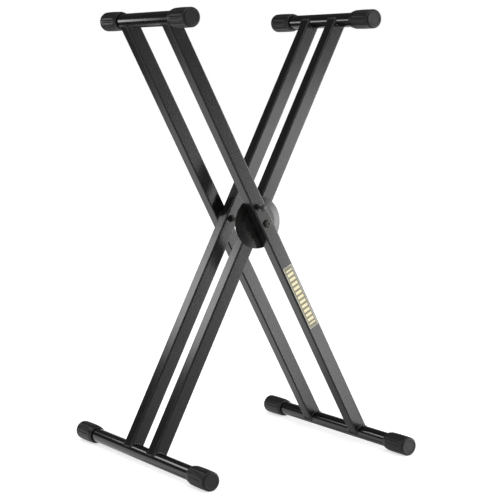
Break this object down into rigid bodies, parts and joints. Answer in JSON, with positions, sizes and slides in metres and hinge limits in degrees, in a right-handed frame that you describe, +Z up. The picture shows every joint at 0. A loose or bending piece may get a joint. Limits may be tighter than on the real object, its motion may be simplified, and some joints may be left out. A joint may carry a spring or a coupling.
{
  "type": "folding keyboard stand",
  "caption": "Free-standing folding X-frame keyboard stand: crossed double legs of square tube on one pivot bolt, capped cross bars, and a spring plunger that locks into a disc.",
  "frame": {"origin": "on the floor, straight under the pivot bolt, midway between the outer legs", "axes": "+Z up; +X to the right across the crossing of the legs; +Y to the back, along the pivot bolt and the cross bars, with the plunger and the bolt head at -Y"},
  "size_m": [0.5282, 0.542, 0.9282],
  "materials": {
    "frame_paint": "semi-gloss black powder coat on square steel tube",
    "bar_paint": "glossy black powder coat on round steel tube",
    "disc_paint": "semi-gloss black powder coat on a pressed steel disc",
    "cap_rubber": "matt moulded black rubber",
    "black_nylon": "moulded black nylon",
    "knob_plastic": "glossy black plastic",
    "zinc_plating": "bright zinc-plated steel",
    "black_steel": "black oxide steel",
    "label_vinyl": "pale printed vinyl label"
  },
  "bodies": {
    "outer_frame": {"outer_leg_near": "frame_paint", "outer_leg_far": "frame_paint", "outer_top_bar": "bar_paint", "outer_top_bar_cap_near": "cap_rubber", "outer_top_bar_cap_far": "cap_rubber", "outer_foot_bar": "bar_paint", "outer_foot_bar_cap_near": "cap_rubber", "outer_foot_bar_cap_far": "cap_rubber", "pivot_bolt": "black_steel", "bolt_head_washer": "black_steel", "end_nut_washer": "zinc_plating", "end_lock_nut": "zinc_plating", "jam_washer_near": "black_steel", "jam_washer_far": "black_steel", "jam_nut_near": "black_steel", "jam_nut_far": "black_steel", "friction_washer_near": "black_nylon", "spacer_washer_far": "black_nylon", "crush_sleeve_near": "zinc_plating", "crush_sleeve_far": "zinc_plating", "plunger_barrel": "black_steel", "plunger_spring": "zinc_plating", "label": "label_vinyl"},
    "inner_frame": {"inner_leg_near": "frame_paint", "inner_leg_far": "frame_paint", "inner_top_bar": "bar_paint", "inner_top_bar_cap_near": "cap_rubber", "inner_top_bar_cap_far": "cap_rubber", "inner_foot_bar": "bar_paint", "inner_foot_bar_cap_near": "cap_rubber", "inner_foot_bar_cap_far": "cap_rubber", "pivot_bush_near": "black_nylon", "pivot_bush_far": "black_nylon", "lock_disc": "disc_paint", "disc_rivet_upper": "black_steel", "disc_rivet_lower": "black_steel"},
    "plunger": {"lock_pin": "zinc_plating", "pull_knob": "knob_plastic"}
  },
  "joints": [
    {"name": "fold", "type": "hinge", "parent": "outer_frame", "child": "inner_frame", "pos_m": [0, 0, 0.49074], "axis": [0, 1, 0], "range_deg": [-49.75, 52.2]},
    {"name": "lock_pin_slide", "type": "slide", "parent": "outer_frame", "child": "plunger", "axis": [0, 1, 0], "range_m": [0, 0.006], "stiffness_N_per_m": 400, "springref_m": 0.012}
  ]
}
